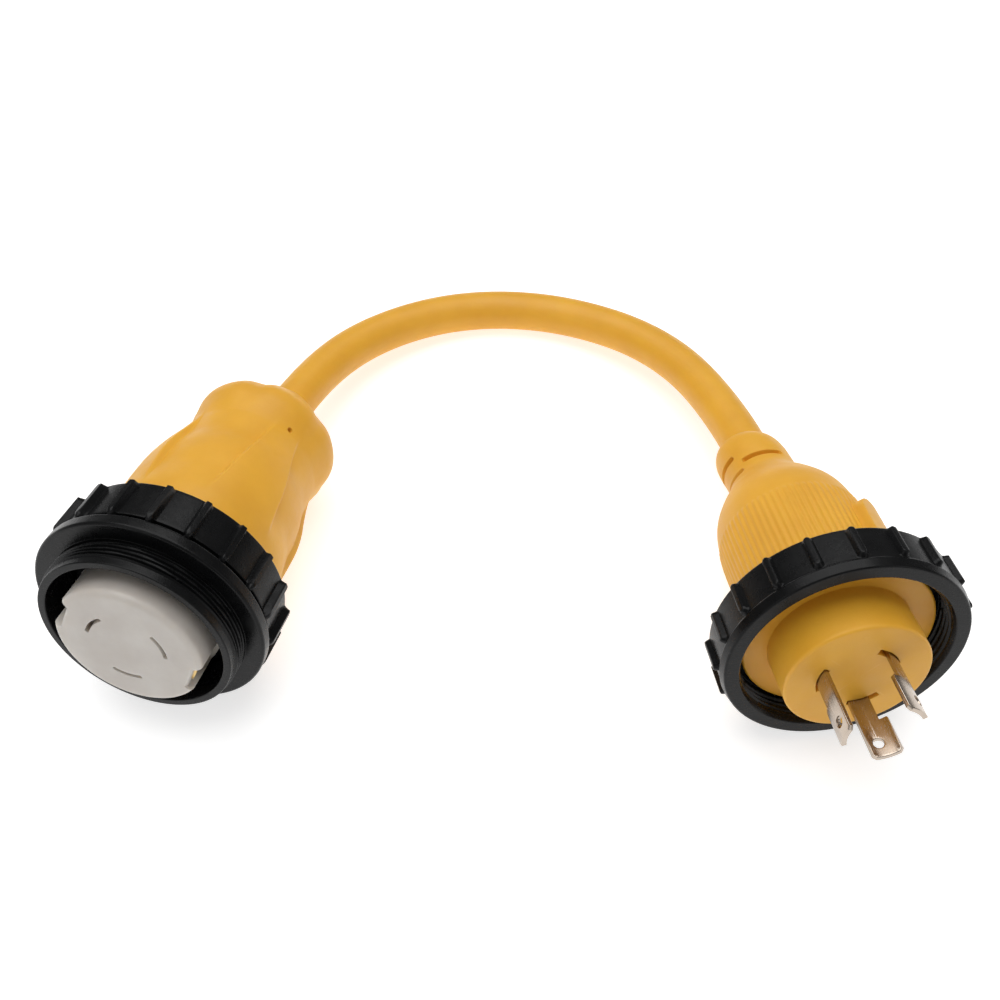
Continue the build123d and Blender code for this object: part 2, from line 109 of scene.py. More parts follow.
def place(points, head):
    """Points of a head's frame, in mm, as points of the row frame, in metres."""
    face, right, up, out = head
    points = np.asarray(points, float) * MM
    return face + points[:, :1] * right + points[:, 1:2] * up + points[:, 2:3] * out


# each mount is at the middle of its straight wall
PLUG = head_frame("plug_nose", (NOSE_ROUNDING + NOSE_LENGTH) / 2)
CONNECTOR = head_frame("connector_thread", -sum(THREAD_Z) / 2)


# ---- outlines and height fields ---------------------------------------------------------
def smooth(value):
    """0 below 0, 1 above 1, and an even slope between."""
    value = np.clip(value, 0.0, 1.0)
    return value * value * (3 - 2 * value)


def turned(turn, centre):
    """Angles measured from a centre, from -180 to 180."""
    return (turn - centre + 180.0) % 360.0 - 180.0


def repeated(turn, first, count):
    """Angles measured from the nearest of evenly spaced centres."""
    pitch = 360.0 / count
    return (turn - first + pitch / 2) % pitch - pitch / 2


def curve_through(knots, count=8):
    """A smooth run through (radius, z) knots, with a few points between each pair."""
    knots = np.array(knots, float)
    ends = np.vstack([2 * knots[0] - knots[1], knots, 2 * knots[-1] - knots[-2]])
    run = []
    for a, b, c, d in zip(ends, ends[1:], ends[2:], ends[3:]):
        for t in np.arange(count) / count:
            run.append(0.5 * (2 * b + (c - a) * t + (2 * a - 5 * b + 4 * c - d) * t**2
                              + (3 * b - a - 3 * c + d) * t**3))
    return [(r, z, 0.0) for r, z in run] + [(*knots[-1], 0.0)]


def outline_points(corners, step, closed):
    """A fine outline from (radius, z, rounding) corners, each rounded by its own radius."""
    corners = [np.array(c, float) for c in corners]
    count = len(corners)
    shaped = []
    for i, corner in enumerate(corners):
        spot, rounding = corner[:2], corner[2]
        if rounding <= 0 or (not closed and i in (0, count - 1)):
            shaped.append(spot)
            continue
        before = corners[i - 1][:2] - spot
        after = corners[(i + 1) % count][:2] - spot
        reach = 0.49 * min(np.linalg.norm(before), np.linalg.norm(after))
        before /= np.linalg.norm(before)
        after /= np.linalg.norm(after)
        half = 0.5 * np.arccos(np.clip(before @ after, -1, 1))
        rounding = min(rounding, reach * tan(half))
        middle = (before + after) / np.linalg.norm(before + after)
        centre = spot + middle * rounding / sin(half)
        start, end = spot + before * rounding / tan(half), spot + after * rounding / tan(half)
        first = atan2(*(start - centre)[::-1])
        sweep = (atan2(*(end - centre)[::-1]) - first + pi) % (2 * pi) - pi
        pieces = max(3, ceil(abs(sweep) / radians(16)))
        for k in range(pieces + 1):
            angle = first + sweep * k / pieces
            shaped.append(centre + rounding * np.array([cos(angle), sin(angle)]))
    fine = []
    runs = zip(shaped, shaped[1:] + shaped[:1]) if closed else zip(shaped, shaped[1:])
    for a, b in runs:
        spacing = step(0.5 * (a + b)) if callable(step) else step
        pieces = max(1, ceil(np.linalg.norm(b - a) / spacing))
        fine += [a + (b - a) * k / pieces for k in range(pieces)]
    if not closed:
        fine.append(shaped[-1])
    return np.array(fine)


def shell_object(name, verts, faces, sharp=38.0):
    """A mesh object from points in metres, smooth except at sharp edges."""
    mesh = bpy.data.meshes.new(name)
    mesh.from_pydata([tuple(v) for v in verts], [], faces)
    mesh.validate()
    mesh.shade_smooth()
    mesh.set_sharp_from_angle(angle=radians(sharp))
    piece = bpy.data.objects.new(name, mesh)
    bpy.context.scene.collection.objects.link(piece)
    return piece


def lathe(name, head, corners, around, step, closed=False, field=None, reshape=None):
    """A turned shell. field(r, z, turn) raises its surface, and reshape moves its points."""
    outline = outline_points(corners, step, closed)
    ahead = np.roll(outline, -1, axis=0) - outline
    behind = outline - np.roll(outline, 1, axis=0)
    if not closed:
        ahead[-1], behind[0] = behind[-1], ahead[0]
    ahead /= np.linalg.norm(ahead, axis=1)[:, None]
    behind /= np.linalg.norm(behind, axis=1)[:, None]
    along = ahead + behind
    along /= np.linalg.norm(along, axis=1)[:, None]
    r, z = outline[:, :1], outline[:, 1:]
    turn = (np.arange(around) * 360.0 / around)[None, :]
    lift = field(r, z, turn, along) if field else np.zeros((len(outline), around))
    radius = r - along[:, 1:] * lift
    depth = z + along[:, :1] * lift
    x, y = radius * np.cos(np.radians(turn)), radius * np.sin(np.radians(turn))
    grid = np.stack([x, y, depth + 0 * x], axis=-1)
    if reshape:
        grid = reshape(grid, r, z, turn)
    rows = len(outline)
    verts = grid.reshape(-1, 3)
    faces = []
    last = rows if closed else rows - 1
    first_pole = not closed and outline[0, 0] < 1e-6
    last_pole = not closed and outline[-1, 0] < 1e-6
    for i in range(last):
        a, b = i * around, ((i + 1) % rows) * around
        for j in range(around):
            k = (j + 1) % around
            if first_pole and i == 0:
                faces.append((a, b + j, b + k))
            elif last_pole and i == last - 1:
                faces.append((a + j, b, a + k))
            else:
                faces.append((a + j, b + j, b + k, a + k))
    used = sorted({index for face in faces for index in face})
    renumber = dict(zip(used, range(len(used))))
    faces = [tuple(renumber[index] for index in face) for face in faces]
    return shell_object(name, place(verts[used], head), faces)


# ---- materials --------------------------------------------------------------------------
def new_material(name, colour, roughness, **sockets):
    """A material, its node tree and its shader."""
    material = bpy.data.materials.new(name)
    material.use_nodes = True
    material.diffuse_color = (*colour, 1.0)
    tree = material.node_tree
    shader = tree.nodes["Principled BSDF"]
    shader.inputs["Base Color"].default_value = (*colour, 1.0)
    shader.inputs["Roughness"].default_value = roughness
    for socket, value in sockets.items():
        shader.inputs[socket.replace("_", " ")].default_value = value
    return material, tree, shader


def add_node(tree, kind, links=(), **values):
    """A node with its settings, its input values and its links."""
    node = tree.nodes.new(kind)
    for key, value in values.items():
        if key in node.bl_rna.properties:
            setattr(node, key, value)
        else:
            node.inputs[key.replace("_", " ")].default_value = value
    for socket, source in links:
        tree.links.new(source, node.inputs[socket])
    return node


def noise(tree, scale, detail=3.0, roughness=0.55, stretch=(1, 1, 1)):
    """Noise in the piece's own coordinates, where scale is cells in a metre."""
    place_node = add_node(tree, "ShaderNodeTexCoord")
    mapping = add_node(tree, "ShaderNodeMapping", [("Vector", place_node.outputs["Object"])])
    mapping.inputs["Scale"].default_value = stretch
    texture = add_node(tree, "ShaderNodeTexNoise", [("Vector", mapping.outputs["Vector"])])
    texture.inputs["Scale"].default_value = scale
    texture.inputs["Detail"].default_value = detail
    texture.inputs["Roughness"].default_value = roughness
    return texture.outputs["Fac"]


def spread(tree, source, low, high, to_low, to_high):
    """A source's range turned into another range."""
    node = add_node(tree, "ShaderNodeMapRange", [("Value", source)])
    node.inputs["From Min"].default_value = low
    node.inputs["From Max"].default_value = high
    node.inputs["To Min"].default_value = to_low
    node.inputs["To Max"].default_value = to_high
    return node.outputs["Result"]


def blend_colours(tree, factor, first, second):
    """A colour between two, by a factor. Each is a colour or another node's output."""
    node = add_node(tree, "ShaderNodeMix", data_type="RGBA")
    tree.links.new(factor, node.inputs["Factor"])
    for socket, colour in (("A", first), ("B", second)):
        target = next(i for i in node.inputs if i.name == socket and i.type == "RGBA")
        if isinstance(colour, tuple):
            target.default_value = (*colour, 1.0)
        else:
            tree.links.new(colour, target)
    return next(o for o in node.outputs if o.type == "RGBA")


def bumps(tree, shader, layers):
    """Stacked bumps, each a source with a height in metres."""
    normal = None
    for source, height in layers:
        node = add_node(tree, "ShaderNodeBump", [("Height", source)])
        node.inputs["Strength"].default_value = 1.0
        node.inputs["Distance"].default_value = height
        if normal is not None:
            tree.links.new(normal, node.inputs["Normal"])
        normal = node.outputs["Normal"]
    tree.links.new(normal, shader.inputs["Normal"])


def vinyl(name, colour, shade, pale):
    """Satin moulded vinyl: fine orange peel, cloudy colour, and paler along its edges, a painted
    highlight with some wear.
    """
    material, tree, shader = new_material(
        name, colour, 0.46, Subsurface_Weight=0.10, Subsurface_Scale=0.004, IOR=1.5,
    )
    shader.inputs["Subsurface Radius"].default_value = (1.0, 0.45, 0.12)
    shader.inputs["Specular IOR Level"].default_value = 0.42
    clouds = spread(tree, noise(tree, 55.0, 4.0), 0.35, 0.65, 0.0, 1.0)
    mottled = blend_colours(tree, clouds, shade, colour)
    # sharp edges are painted paler: a painted highlight along them, partly wear
    edges = add_node(tree, "ShaderNodeNewGeometry").outputs["Pointiness"]
    edge_wear_and_highlight = spread(tree, edges, 0.52, 0.60, 0.0, 0.45)
    tree.links.new(blend_colours(tree, edge_wear_and_highlight, mottled, pale), shader.inputs["Base Color"])
    patches = spread(tree, noise(tree, 140.0, 5.0, 0.65), 0.3, 0.7, 0.40, 0.56)
    tree.links.new(patches, shader.inputs["Roughness"])
    bumps(tree, shader, [(noise(tree, 900.0, 3.0), 0.00006), (noise(tree, 3200.0, 2.0), 0.00003)])
    return material


def black_nylon(name):
    """Glass-filled black nylon: satin, faint flow marks, grey edges painted as highlights with some wear,
    and fine scuffs.
    """
    colour = (0.0030, 0.0031, 0.0033)
    material, tree, shader = new_material(name, colour, 0.30, IOR=1.5)
    shader.inputs["Specular IOR Level"].default_value = 0.16
    # sharp edges are painted grey: a painted highlight along them, partly wear
    edges = add_node(tree, "ShaderNodeNewGeometry").outputs["Pointiness"]
    edge_wear_and_highlight = spread(tree, edges, 0.53, 0.66, 0.0, 0.55)
    flow = spread(tree, noise(tree, 70.0, 4.0, 0.6, (1, 1, 3)), 0.35, 0.7, 0.0, 0.35)
    toned = blend_colours(tree, flow, colour, (0.0085, 0.009, 0.0095))
    # the grey colour here is the painted edge highlight
    tree.links.new(blend_colours(tree, edge_wear_and_highlight, toned, (0.030, 0.031, 0.033)), shader.inputs["Base Color"])
    patches = spread(tree, noise(tree, 160.0, 6.0, 0.7), 0.3, 0.75, 0.20, 0.38)
    tree.links.new(patches, shader.inputs["Roughness"])
    scuffs = noise(tree, 420.0, 4.0, 0.6, (1, 1, 6))
    bumps(tree, shader, [(scuffs, 0.00004), (noise(tree, 2600.0, 2.0), 0.00002)])
    return material


def white_nylon(name):
    """Natural nylon: slightly see-through, cool in its shade and warm where it is thin."""
    colour = (0.60, 0.565, 0.52)
    material, tree, shader = new_material(
        name, colour, 0.42, Subsurface_Weight=0.35, Subsurface_Scale=0.006, IOR=1.53,
    )
    shader.inputs["Subsurface Radius"].default_value = (1.0, 0.85, 0.65)
    clouds = spread(tree, noise(tree, 60.0, 4.0, 0.6), 0.35, 0.7, 0.0, 1.0)
    mottled = blend_colours(tree, clouds, (0.53, 0.485, 0.44), colour)
    tree.links.new(mottled, shader.inputs["Base Color"])
    patches = spread(tree, noise(tree, 180.0, 4.0), 0.3, 0.7, 0.34, 0.52)
    tree.links.new(patches, shader.inputs["Roughness"])
    bumps(tree, shader, [(noise(tree, 700.0, 3.0), 0.00004), (noise(tree, 2600.0, 2.0), 0.00002)])
    return material


def metal(name, colour, tarnish, roughness, stretch):
    """Plated or bare metal, with brush lines and a cloudy tarnish."""
    material, tree, shader = new_material(name, colour, roughness, Metallic=1.0)
    clouds = spread(tree, noise(tree, 160.0, 3.0), 0.35, 0.7, 0.0, 0.8)
    tree.links.new(blend_colours(tree, clouds, colour, tarnish), shader.inputs["Base Color"])
    lines = noise(tree, 900.0, 3.0, 0.6, stretch)
    uneven = spread(tree, lines, 0.3, 0.7, roughness - 0.04, roughness + 0.07)
    tree.links.new(uneven, shader.inputs["Roughness"])
    bumps(tree, shader, [(lines, 0.000004)])
    return material


def plain_plastic(name, colour, second, roughness):
    """Inner plastic or insulation, with a faint grain and cloudy colour."""
    material, tree, shader = new_material(name, colour, roughness)
    clouds = spread(tree, noise(tree, 120.0, 3.0), 0.35, 0.7, 0.0, 1.0)
    tree.links.new(blend_colours(tree, clouds, colour, second), shader.inputs["Base Color"])
    patches = spread(tree, noise(tree, 260.0, 4.0), 0.3, 0.7, roughness - 0.06, roughness + 0.1)
    tree.links.new(patches, shader.inputs["Roughness"])
    bumps(tree, shader, [(noise(tree, 1600.0, 2.0), 0.00003)])
    return material


YELLOW = (0.80, 0.410, 0.032)
YELLOW_SHADE = (0.745, 0.368, 0.028)
# the paler yellow is painted along sharp edges as a highlight
YELLOW_PALE = (0.86, 0.49, 0.10)
BODY_VINYL = vinyl("yellow_vinyl_body", YELLOW, YELLOW_SHADE, YELLOW_PALE)
CORD_VINYL = vinyl("yellow_vinyl_jacket", YELLOW, YELLOW_SHADE, YELLOW_PALE)
BLACK = black_nylon("black_nylon")
WHITE = white_nylon("white_nylon")
NICKEL = metal("nickel_plate", (0.50, 0.425, 0.355), (0.44, 0.37, 0.305), 0.22, (6, 0.5, 0.5))
BRASS = metal("brass_strip", (0.78, 0.57, 0.25), (0.62, 0.42, 0.18), 0.30, (5, 1, 1))
STEEL = metal("screw_steel", (0.58, 0.57, 0.55), (0.42, 0.41, 0.39), 0.32, (1, 1, 5))
PREMOULD = plain_plastic("premould_grey", (0.10, 0.10, 0.105), (0.14, 0.14, 0.145), 0.55)
COVER = plain_plastic("cover_white", (0.72, 0.70, 0.66), (0.66, 0.63, 0.58), 0.45)
WIRE_COLOURS = {
    "hot": plain_plastic("insulation_black", (0.012, 0.012, 0.013), (0.02, 0.02, 0.021), 0.42),
    "neutral": plain_plastic("insulation_white", (0.78, 0.77, 0.74), (0.70, 0.69, 0.66), 0.42),
    "ground": plain_plastic("insulation_green", (0.02, 0.22, 0.06), (0.03, 0.28, 0.08), 0.42),
}


def dress(piece, material, body, slot_name, *nodes):
    """Give a piece its material and body, and let it stand for its CAD nodes. slot_name is not used."""
    piece.data.materials.clear()
    piece.data.materials.append(material)
    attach(piece, body)
    if nodes:
        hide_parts(*nodes)
    return piece


# ---- plug body --------------------------------------------------------------------------
RIDGE_COUNT = 72
RIDGE_WIDTH, RIDGE_HEIGHT, RIDGE_EDGE = 2.0, 0.30, 0.85
RIDGE_Z = (-60.0, -26.0)
PAD_ANGLE, PAD_SWEEP, PAD_REAR, PAD_HEIGHT = 32.0, 52.0, -54.5, 3.4
PAD_CORNER, PAD_EDGE = 7.0, 0.9
RELIEF_SLOTS = (
    (-94.0, ((174.0, 64.0), (354.0, 64.0))),
    (-90.0, ((98.0, 70.0), (278.0, 70.0))),
    (-86.0, ((168.0, 64.0), (348.0, 64.0))),
)
RELIEF_SLOT_WIDTH, RELIEF_SLOT_DEPTH, RELIEF_SLOT_EDGE = 2.1, 2.7, 0.35
RELIEF_BEND_START, RELIEF_BEND = -82.0, 0.0045


def bar(across, along, low, high, width, height, edge):
    """A raised bar with rounded ends, between two places along its length."""
    half = width / 2
    beyond = np.maximum(low + half - along, 0) + np.maximum(along - (high - half), 0)
    return height * smooth((half - np.hypot(across, beyond)) / edge)


def blade_pockets(r, turn):
    """Depth of the pockets in the nose's face, as wide as each blade with its hook."""
    depth = 0
    for angle in BLADE_ANGLES.values():
        sweep = BLADE_SWEEP + HOOK_SWEEP + BLADE_POCKET_SPARE
        across = r - BLADE_CIRCLE_R
        arc = radians(1) * BLADE_CIRCLE_R * turned(turn, angle + HOOK_SWEEP / 2)
        half = radians(sweep / 2) * BLADE_CIRCLE_R
        beside = np.abs(across) - BLADE_THICKNESS / 2 - BLADE_POCKET_GAP
        outside = np.maximum(beside, np.abs(arc) - half)
        depth = depth + BLADE_POCKET_DEPTH * smooth(0.5 - outside / 0.35)
    return depth


def plug_field(r, z, turn, along):
    """Grip ridges, the smooth raised pad and the relief's slots."""
    arc = radians(1) * r * repeated(turn, 0.0, RIDGE_COUNT)
    ridges = bar(arc, z, *RIDGE_Z, RIDGE_WIDTH, RIDGE_HEIGHT, RIDGE_EDGE)
    pad_arc = radians(1) * r * turned(turn, PAD_ANGLE)
    half = radians(PAD_SWEEP / 2) * PLUG_BODY_R
    past_side = np.maximum(np.abs(pad_arc) - half + PAD_CORNER, 0)
    past_end = np.maximum(PAD_REAR + PAD_CORNER - z, 0)
    inside = PAD_CORNER - np.hypot(past_side, past_end)
    pad = smooth(inside / PAD_EDGE) * (z < PLUG_BODY_START)
    lift = ridges * (1 - pad) + PAD_HEIGHT * pad
    for row, slots in RELIEF_SLOTS:
        for centre, sweep in slots:
            slot_arc = radians(1) * PLUG_RELIEF_R * turned(turn, centre)
            reach = radians(sweep / 2) * PLUG_RELIEF_R
            cut = bar(
                z - row, slot_arc, -reach, reach,
                RELIEF_SLOT_WIDTH, RELIEF_SLOT_DEPTH, RELIEF_SLOT_EDGE,
            )
            lift = lift - cut * (r > CORD_R + 1)
    return lift


def insert_field(r, z, turn, along):
    """The pockets beside the blades, in the nose's face."""
    return -blade_pockets(r, turn) * (z > -0.01) * (r < NOSE_R - 1)


def relief_bend(grid, r, z, turn):
    """The relief leans a little with the cord, which leaves to one side."""
    behind = np.maximum(RELIEF_BEND_START - z, 0)
    grid[..., 0] -= RELIEF_BEND * behind**2
    return grid


def plug_step(spot):
    """Finer rings where the slots are."""
    radius, depth = spot
    if -96.0 < depth < -84.0 and radius > CORD_R + 1:
        return 0.22
    return 0.7


def insert_step(spot):
    """Finer rings across the blades' circle."""
    radius, depth = spot
    return 0.16 if depth > -0.1 and abs(radius - BLADE_CIRCLE_R) < 1.6 else 0.6


insert_outline = [
    (0, 0, 0),
    (BLADE_CIRCLE_R - 1.7, 0, 0),
    (BLADE_CIRCLE_R + 1.7, 0, 0),
    (NOSE_R, 0, 0.9),
    (NOSE_R, -NOSE_LENGTH - 0.4, 0),
    (0, -NOSE_LENGTH - 0.4, 0),
]
plug_insert = lathe("plug_insert", PLUG, insert_outline, 720, insert_step, field=insert_field)
dress(plug_insert, BODY_VINYL, "adapter", "plug_insert", "male_insert")

plug_outline = [
    (0, -NOSE_LENGTH, 0),
    (NOSE_R + 0.2, -NOSE_LENGTH, 0),
    (PLUG_FLANGE_R, -NOSE_LENGTH, 0.8),
    (PLUG_FLANGE_R, PLUG_FLANGE_BACK, 0.6),
    (PLUG_NECK_R, PLUG_FLANGE_BACK, 0.3),
    (PLUG_NECK_R, PLUG_BODY_START, 0.3),
    (PLUG_BODY_R, PLUG_BODY_START, 0.5),
    *curve_through(
        [
            (PLUG_BODY_R, -28),
            (PLUG_BODY_R, -40),
            (PLUG_BODY_R, -55),
            (23.4, -64),
            (21.8, -70),
            (18.6, -76),
            (14.9, -81.6),
            (PLUG_RELIEF_R + 0.3, -86),
            (PLUG_RELIEF_R, -91),
            (PLUG_RELIEF_R, -97),
            (PLUG_RELIEF_R - 0.6, -101.5),
            (PLUG_RELIEF_R - 2.2, -104.6),
            (CORD_R + 0.9, PLUG_REAR),
        ]
    ),
    (CORD_R + 0.15, PLUG_REAR + 0.5, 0.2),
    (CORD_R - 0.6, PLUG_REAR + 2.5, 0.2),
    (0, PLUG_REAR + 2.5, 0),
]
plug_body = lathe("plug_body", PLUG, plug_outline, 720, plug_step, field=plug_field, reshape=relief_bend)
dress(plug_body, BODY_VINYL, "adapter", "plug_body", "male_overmold")

# ---- connector body ---------------------------------------------------------------------
SPINE_ANGLE, SPINE_COUNT = 49.0, 4
PANEL_DEPTH, PANEL_EDGE, PANEL_R = 2.0, 1.5, 27.0
PANEL_HALF_WIDTH, PANEL_TAPER, PANEL_MIDDLE = 13.2, 0.13, -60.0
PANEL_FRONT, PANEL_REAR = (-38.0, -54.0), (-87.0, -70.0)
KNOB_DIP_ANGLE, KNOB_DIP_COUNT, KNOB_DIP_DEPTH = 31.0, 6, 1.1
KNOB_R, KNOB_DIP_Z, KNOB_DIP_WIDTH, KNOB_DIP_LENGTH = 22.0, -101.0, 3.4, 11.0
PINHOLE_ANGLE, PINHOLE_Z, PINHOLE_R, PINHOLE_DEPTH = 48.4, -85.0, 0.75, 2.2
PINHOLE_BODY_R = 24.8


def connector_field(r, z, turn, along):
    """Finger panels between four spines, the knob's dips and a small vent hole."""
    panel_turn = repeated(turn, SPINE_ANGLE + 180.0 / SPINE_COUNT, SPINE_COUNT)
    panel_arc = radians(1) * PANEL_R * panel_turn
    half_width = PANEL_HALF_WIDTH + PANEL_TAPER * (PANEL_MIDDLE - z)
    side = smooth((half_width - np.abs(panel_arc)) / PANEL_EDGE)
    front = smooth((PANEL_FRONT[0] - z) / (PANEL_FRONT[0] - PANEL_FRONT[1]))
    rear = smooth((z - PANEL_REAR[0]) / (PANEL_REAR[1] - PANEL_REAR[0]))
    hollow = PANEL_DEPTH * side * front * rear
    dip_arc = radians(1) * KNOB_R * repeated(turn, KNOB_DIP_ANGLE, KNOB_DIP_COUNT)
    dip_across = dip_arc / KNOB_DIP_WIDTH
    dip_along = (z - KNOB_DIP_Z) / KNOB_DIP_LENGTH
    dips = KNOB_DIP_DEPTH * np.exp(-(dip_across**2) - dip_along**2)
    hole_arc = radians(1) * PINHOLE_BODY_R * turned(turn, PINHOLE_ANGLE)
    from_edge = PINHOLE_R - np.hypot(hole_arc, z - PINHOLE_Z)
    hole = PINHOLE_DEPTH * smooth(from_edge / 0.4 + 0.5)
    return -(hollow + dips + hole) * (r > CORD_R + 1.5)


def connector_step(spot):
    """Finer rings round the vent hole."""
    depth = spot[1]
    return 0.25 if abs(depth - PINHOLE_Z) < 1.6 else 0.7


connector_outline = [
    (0, SHOULDER_Z[1], 0),
    (SHOULDER_R, SHOULDER_Z[1], 0.5),
    (SHOULDER_R, SHOULDER_Z[0], 0.3),
    (CONNECTOR_NECK_R, SHOULDER_Z[0], 0.3),
    (CONNECTOR_NECK_R, CONNECTOR_BODY_START, 0.3),
    (29.9, CONNECTOR_BODY_START, 0.4),
    (29.9, CONNECTOR_BODY_START - 1.6, 0.4),
    (29.2, CONNECTOR_BODY_START - 2.0, 0.3),
    *curve_through(
        [
            (29.2, -34),
            (29.5, -42),
            (29.6, -50),
            (29.4, -58),
            (28.3, -66),
            (26.4, -74),
            (24.9, -81.5),
            (24.75, -85),
            (25.7, -90),
            (26.4, -94),
            (26.0, -98),
            (23.8, -102),
            (20.3, -106),
            (16.6, -110),
            (12.8, -114),
            (9.9, -117.6),
            (CORD_R + 0.7, CONNECTOR_REAR),
        ]
    ),
    (CORD_R + 0.1, CONNECTOR_REAR + 0.5, 0.2),
    (CORD_R - 0.6, CONNECTOR_REAR + 2.5, 0.2),
    (0, CONNECTOR_REAR + 2.5, 0),
]
connector_body = lathe(
    "connector_body", CONNECTOR, connector_outline, 540, connector_step, field=connector_field
)
dress(connector_body, BODY_VINYL, "adapter", "connector_body", "female_overmold")


def paint_gap_shade(piece, head):
    """The floor of the gap around the carrier gets the black nylon, as painted shade on the yellow
    shoulder deep in the gap.
    """
    piece.data.materials.append(BLACK)
    face, _, _, out = head
    for polygon in piece.data.polygons:
        depth = (np.array(polygon.center) - face) @ out / MM
        # faces from the shoulder forward are painted black: painted shade in the gap
        polygon.material_index = int(depth > SHOULDER_Z[0] - 0.5)


# painted shade on the shoulder in the gap around the carrier
paint_gap_shade(connector_body, CONNECTOR)


# ---- rings ------------------------------------------------------------------------------
RING_COLUMNS = RIB_COUNT * 38
RIB_EDGE = 0.9


def bars_of(turn, r, z, first, low, high, height):
    """The ring's narrow grip bars."""
    arc = radians(1) * r * repeated(turn, first, RIB_COUNT)
    return bar(arc, z, low, high, RIB_WIDTH, height, RIB_EDGE)


def crests(z, turn, pitch, height, low, high):
    """A screw thread's crests, as a height that climbs one pitch in a turn."""
    phase = ((z / pitch + turn / 360.0) % 1.0) * 2 - 1
    shape = smooth(1.15 - 1.7 * np.abs(phase))
    ends = smooth((z - low) / 0.8) * smooth((high - z) / 0.8)
    return height * shape * ends


CONNECTOR_RIB_ANGLE, CONNECTOR_RIB_OVERHANG = 7.75, 0.9
THREAD_PITCH, THREAD_HEIGHT = 1.5, 0.9


def connector_ring_field(r, z, turn, along):
    """Grip bars that overhang the groove, and the outside thread."""
    outside = r > GROOVE_R - 0.2
    front = GRIP_START + CONNECTOR_RIB_OVERHANG
    bars = bars_of(turn, r, z, CONNECTOR_RIB_ANGLE, RING_BACK + 0.1, front, RIB_HEIGHT)
    on_grip = outside * (z < front) * (along[:, 1:] < -0.2)
    threaded = (r > RING_LIP_R + 0.1) * (z > THREAD_Z[0] + 0.05) * (along[:, 1:] < -0.9)
    thread = crests(z, turn, THREAD_PITCH, THREAD_HEIGHT, THREAD_Z[0] + 0.3, THREAD_Z[1])
    return bars * on_grip + (thread - THREAD_HEIGHT) * threaded * (r < THREAD_R + 0.2)


def connector_ring_step(spot):
    """Fine rings on the thread and along the bars' ends."""
    radius, depth = spot
    if depth > THREAD_Z[0] and radius > RING_LIP_R - 0.2:
        return 0.11
    return 0.3 if depth > GRIP_START - 3 or depth < RING_BACK + 3 else 0.9


connector_ring_outline = [
    (RING_BORE_R, 0.0, 0.35),
    (RING_LIP_R, 0.0, 0.35),
    (RING_LIP_R, THREAD_Z[1], 0.15),
    (THREAD_R, THREAD_Z[1] - 0.35, 0.1),
    (THREAD_R, THREAD_Z[0], 0.15),
    (FLANGE_R, FLANGE_Z[1], 0.9),
    (FLANGE_R, FLANGE_Z[0], 0.5),
    (GROOVE_R, FLANGE_Z[0], 0.4),
    (GROOVE_R, GRIP_START, 0.4),
    (RING_R, GRIP_START, 0.35),
    (RING_R, RING_BACK, 0.5),
    (RING_NECK_R, RING_BACK, 0.3),
    (RING_NECK_R, RING_WEB, 0.2),
    (RING_BORE_R, RING_WEB, 0.2),
]
connector_ring = lathe(
    "connector_ring", CONNECTOR, connector_ring_outline, RING_COLUMNS, connector_ring_step,
    closed=True, field=connector_ring_field,
)
dress(connector_ring, BLACK, "female_ring", "female_ring", "female_lock_ring")

PLUG_RIB_ANGLE, PLUG_RING_BAND = 73.3, 3.4
PLUG_THREAD_PITCH, PLUG_THREAD_HEIGHT = 2.0, 0.6


def plug_ring_field(r, z, turn, along):
    """Grip bars from the rear edge to the smooth front band, and the inside thread."""
    low, high = PLUG_RING_Z
    front = high - PLUG_RING_BAND
    bars = bars_of(turn, r, z, PLUG_RIB_ANGLE, low + 0.1, front, PLUG_RIB_HEIGHT)
    on_grip = (r > PLUG_RING_R - 0.7) * (along[:, 1:] < -0.2)
    inside = (r < PLUG_RING_THREAD_R + 0.2) * (r > PLUG_RING_THREAD_R - 0.2) * (along[:, 1:] > 0.9)
    thread = crests(z, turn, PLUG_THREAD_PITCH, PLUG_THREAD_HEIGHT, PLUG_RING_WEB + 1, high - 1.5)
    return bars * on_grip + thread * inside


plug_ring_outline = [
    (PLUG_RING_MOUTH_R, PLUG_RING_Z[1], 0.4),
    (PLUG_RING_R - 0.4, PLUG_RING_Z[1], 0.7),
    (PLUG_RING_R + 0.4, PLUG_RING_Z[1] - 3.0, 0.5),
    (PLUG_RING_R, PLUG_RING_Z[1] - 3.5, 0.3),
    (PLUG_RING_R, PLUG_RING_Z[0], 0.6),
    (PLUG_RING_BORE_R, PLUG_RING_Z[0], 0.3),
    (PLUG_RING_BORE_R, PLUG_RING_WEB, 0.2),
    (PLUG_RING_THREAD_R, PLUG_RING_WEB, 0.3),
    (PLUG_RING_THREAD_R, PLUG_RING_Z[1] - 1.2, 0.2),
]
plug_ring = lathe(
    "plug_ring", PLUG, plug_ring_outline, RING_COLUMNS, 0.3, closed=True, field=plug_ring_field
)
dress(plug_ring, BLACK, "male_ring", "male_ring", "male_lock_ring")


# ---- white carrier ----------------------------------------------------------------------
def carrier_field(r, z, turn, along):
    """The three arc slots for the blades."""
    depth = 0
    for centre, sweep in SLOT_ARCS:
        arc = radians(1) * SLOT_CIRCLE_R * turned(turn, centre)
        reach = radians(sweep / 2) * SLOT_CIRCLE_R
        across = r - SLOT_CIRCLE_R
        depth = depth + bar(across, arc, -reach, reach, SLOT_WIDTH, SLOT_DEPTH, SLOT_EDGE)
    return -depth * (z > CARRIER_FRONT - 0.01)


